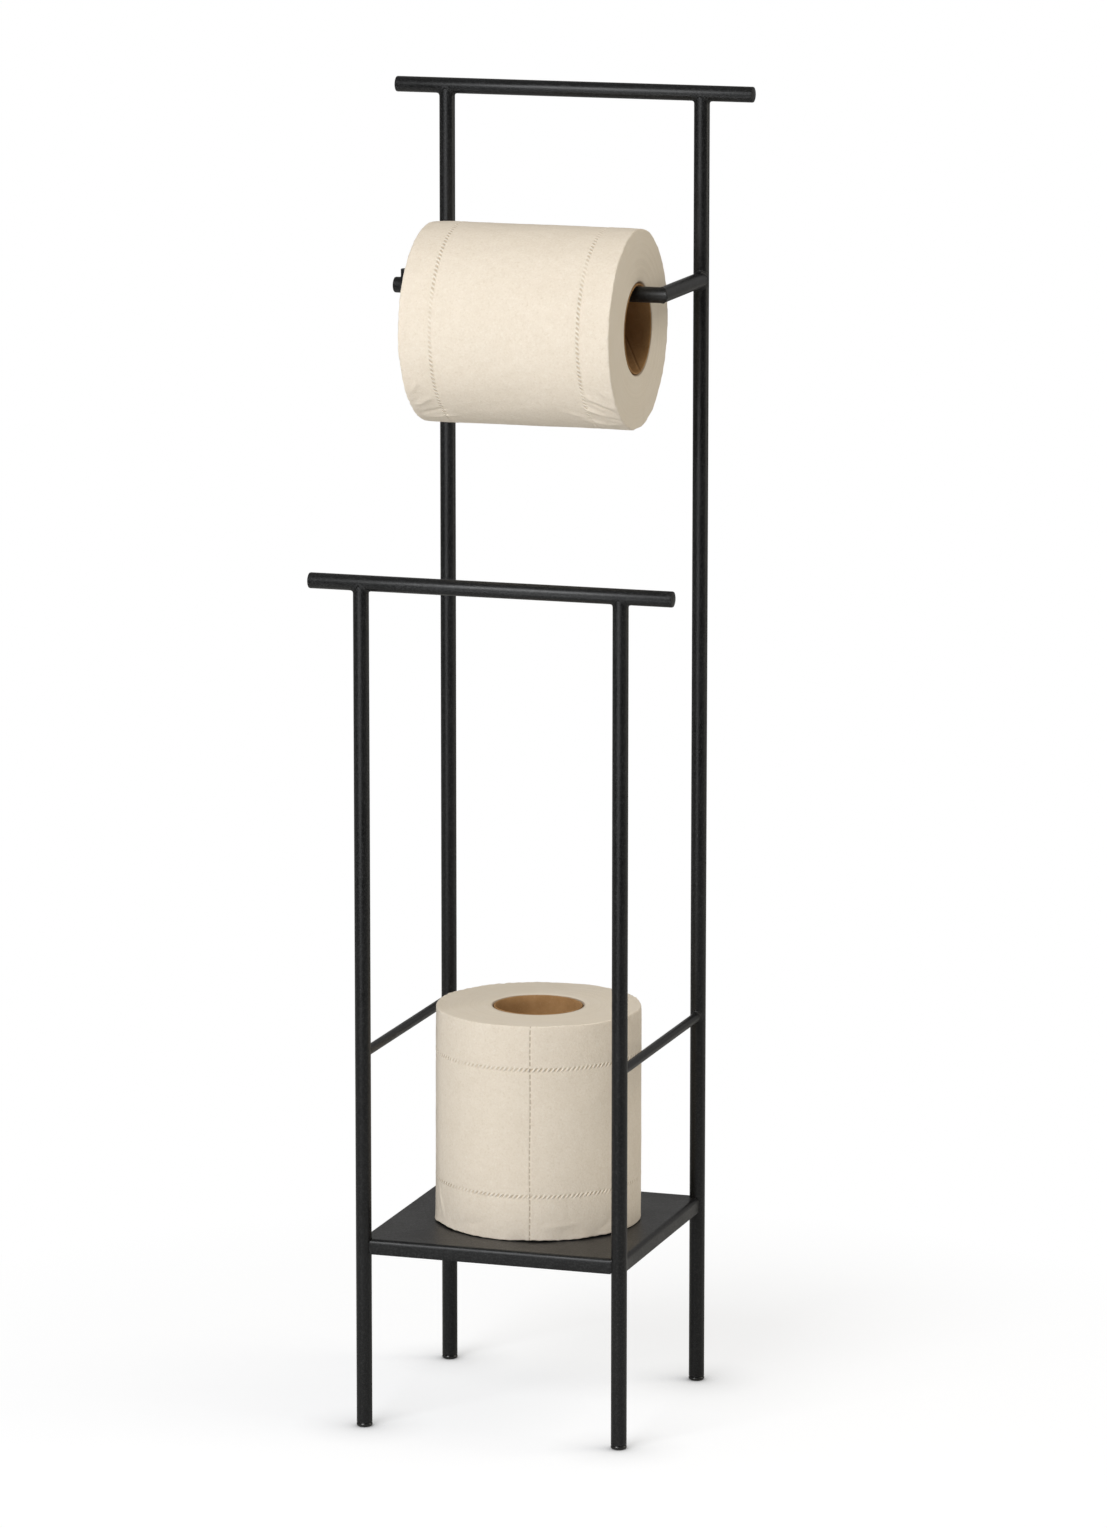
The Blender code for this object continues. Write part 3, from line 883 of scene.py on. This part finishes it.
world = bpy.data.worlds.new("studio")
bpy.context.scene.world = world
world.use_nodes = True
tree = world.node_tree
back = tree.nodes["Background"]
back.inputs["Color"].default_value = (1, 0.985, 0.96, 1)
back.inputs["Strength"].default_value = 0.242
seen = tree.nodes.new("ShaderNodeBackground")
seen.inputs["Color"].default_value = (1, 1, 1, 1)
seen.inputs["Strength"].default_value = 1.0
ray = tree.nodes.new("ShaderNodeLightPath")
mix = tree.nodes.new("ShaderNodeMixShader")
tree.links.new(ray.outputs["Is Camera Ray"], mix.inputs[0])
tree.links.new(back.outputs[0], mix.inputs[1])
tree.links.new(seen.outputs[0], mix.inputs[2])
tree.links.new(mix.outputs[0], tree.nodes["World Output"].inputs[0])

WARM = (1.0, 0.94, 0.83)
emitter("key_softbox", around(-15, 27, 2.2, (0, 0, 0.38)), (0, 0, 0.34), 1.25, 1.05, 33.4)
low = emitter("low_softbox", around(-11, -9, 1.8, (0, 0, 0.54)), (0, 0, 0.52), 1.0, 0.4, 0.55)
low.data.spread = math.radians(70)
under = emitter("under_softbox", around(-8, -33, 0.95, (0, 0, 0.566)), (0, 0, 0.60), 0.7, 0.2, 0.19)
under.data.spread = math.radians(50)
emitter("side_fill", around(112, 12, 2.0, (0, 0, 0.30)), (0, 0, 0.30), 0.9, 1.1, 6.0, WARM)
emitter("high_side_fill", around(98, 50, 2.0, (0, 0, 0.40)), (0, 0, 0.40), 1.0, 1.0, 9.5, WARM)
emitter("back_glow", around(198, 14, 2.0, (0, 0, 0.30)), (0, 0, 0.30), 3.0, 1.1, 1.2)

F_PX, AZ, EL, DIST, TARGET_Z = 7241.8, 18.0477, 10.7927, 3.72048, 0.3397
cam_data = bpy.data.cameras.new("camera")
cam_data.sensor_fit = "AUTO"
cam_data.sensor_width = 36.0
cam_data.lens = F_PX * 36.0 / 1528.0
cam_data.shift_x = 21.07 / 1528.0
cam_data.shift_y = -0.46 / 1528.0
cam_data.clip_end = 60.0
cam = bpy.data.objects.new("camera", cam_data)
cam.location = around(AZ, EL, DIST, (0, 0, TARGET_Z))
cam.rotation_euler = (Vector((0, 0, TARGET_Z)) - cam.location).to_track_quat("-Z", "Y").to_euler()
bpy.context.scene.collection.objects.link(cam)
bpy.context.scene.camera = cam

view = bpy.context.scene.view_settings
view.view_transform = "Standard"
view.look = "None"
view.exposure = 0.0
view.gamma = 1.0
